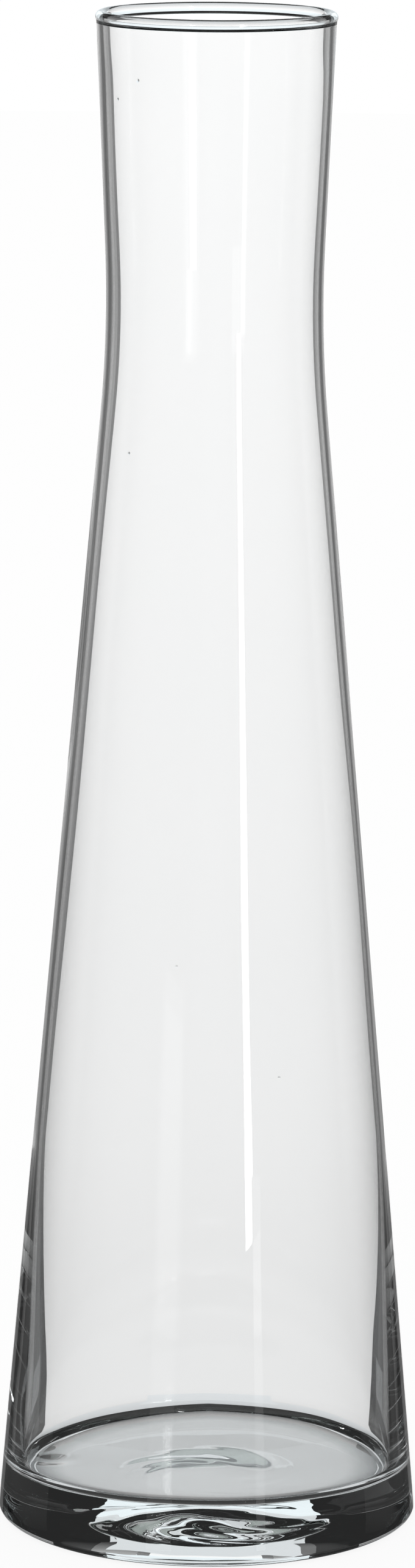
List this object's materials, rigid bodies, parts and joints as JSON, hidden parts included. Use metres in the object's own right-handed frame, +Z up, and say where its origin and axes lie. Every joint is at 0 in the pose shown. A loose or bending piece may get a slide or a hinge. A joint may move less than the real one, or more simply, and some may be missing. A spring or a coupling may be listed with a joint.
{
  "type": "glass bud vase",
  "caption": "Tall clear glass bud vase: heavy round foot, straight taper to a narrow neck, slightly flared mouth with a fire-polished rim.",
  "frame": {"origin": "centre of the standing face, on the vase's own axis", "axes": "+Z up along the axis of the vase, towards the mouth; round about +Z, so +X and +Y are free"},
  "size_m": [0.0834, 0.0834, 0.3],
  "materials": {
    "foot_glass": "clear soda-lime glass, thick and slightly grey-green seen edge on, polished",
    "wall_glass": "clear colourless soda-lime glass, polished, faintly wavy inside",
    "rim_glass": "clear glass, fire-polished to a round bead"
  },
  "bodies": {
    "root": {"foot": "foot_glass", "heel_wall": "wall_glass", "body_wall": "wall_glass", "neck_wall": "wall_glass", "rim_bead": "rim_glass"}
  },
  "joints": []
}
